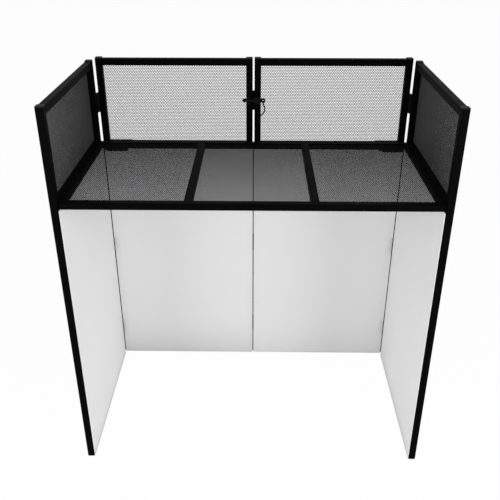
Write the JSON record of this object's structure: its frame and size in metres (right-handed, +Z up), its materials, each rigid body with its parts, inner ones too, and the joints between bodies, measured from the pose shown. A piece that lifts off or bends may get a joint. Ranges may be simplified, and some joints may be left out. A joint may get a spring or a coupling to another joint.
{
  "type": "dj booth",
  "caption": "Folding booth of hinged steel frames with perforated windows and white cloth below, and a lift-off table of perforated sheet between its wings.",
  "frame": {"origin": "on the floor under the middle of the booth's overall box", "axes": "+X to the user's right, +Y towards the audience, +Z up"},
  "size_m": [1.1, 0.621, 1.1965],
  "materials": {
    "frame": "satin black powder coat",
    "plug": "moulded matt black",
    "perforated_sheet": "satin black powder coat",
    "hook_tape": "black woven hook tape",
    "scrim": "white stretch knit",
    "hinge": "satin black coat",
    "rivet": "black coat",
    "lock": "black coat",
    "lanyard": "black braided cord"
  },
  "bodies": {
    "front_left": {"centre_pins": "hinge", "front_left_caps": "plug", "front_left_centre_leaves": "hinge", "front_left_corner_leaves": "hinge", "front_left_corner_pins": "hinge", "front_left_feet": "plug", "front_left_mesh": "perforated_sheet", "front_left_posts": "frame", "front_left_rails": "frame", "front_left_rivets": "rivet", "front_left_scrim": "scrim", "front_left_tape": "hook_tape", "left_support_plate": "frame", "lock_keeper": "lock"},
    "front_right": {"front_right_caps": "plug", "front_right_centre_leaves": "hinge", "front_right_corner_leaves": "hinge", "front_right_corner_pins": "hinge", "front_right_feet": "plug", "front_right_mesh": "perforated_sheet", "front_right_posts": "frame", "front_right_rails": "frame", "front_right_rivets": "rivet", "front_right_scrim": "scrim", "front_right_tape": "hook_tape", "lanyard_clip": "lock", "lock_lug": "lock", "right_support_plate": "frame"},
    "left_wing": {"left_wing_caps": "plug", "left_wing_feet": "plug", "left_wing_leaves": "hinge", "left_wing_ledge": "frame", "left_wing_mesh": "perforated_sheet", "left_wing_posts": "frame", "left_wing_rails": "frame", "left_wing_rivets": "rivet", "left_wing_scrim": "scrim", "left_wing_tape": "hook_tape"},
    "right_wing": {"right_wing_caps": "plug", "right_wing_feet": "plug", "right_wing_leaves": "hinge", "right_wing_ledge": "frame", "right_wing_mesh": "perforated_sheet", "right_wing_posts": "frame", "right_wing_rails": "frame", "right_wing_rivets": "rivet", "right_wing_scrim": "scrim", "right_wing_tape": "hook_tape"},
    "table": {"table_cross_bars": "frame", "table_long_rails": "frame", "table_mesh_centre": "perforated_sheet", "table_mesh_left": "perforated_sheet", "table_mesh_right": "perforated_sheet", "table_side_rails": "frame"},
    "lock_pin": {"lock_lanyard": "lanyard", "lock_pin": "lock"}
  },
  "joints": [
    {"name": "front_fold", "type": "hinge", "parent": "front_left", "child": "front_right", "pos_m": [0, 0.3055, 0.6], "axis": [0, 0, 1], "range_deg": [0, 180]},
    {"name": "left_wing_fold", "type": "hinge", "parent": "front_left", "child": "left_wing", "pos_m": [-0.529, 0.2685, 0.6], "axis": [0, 0, -1], "range_deg": [0, 90]},
    {"name": "right_wing_fold", "type": "hinge", "parent": "front_right", "child": "right_wing", "pos_m": [0.529, 0.2685, 0.6], "axis": [0, 0, 1], "range_deg": [0, 90]},
    {"name": "table_lift", "type": "slide", "parent": "front_left", "child": "table", "axis": [0, 0, 1], "range_m": [0, 0.35]},
    {"name": "lock_pull", "type": "slide", "parent": "front_right", "child": "lock_pin", "axis": [1, 0, 0], "range_m": [0, 0.028], "deforming": ["lock_lanyard"]}
  ]
}
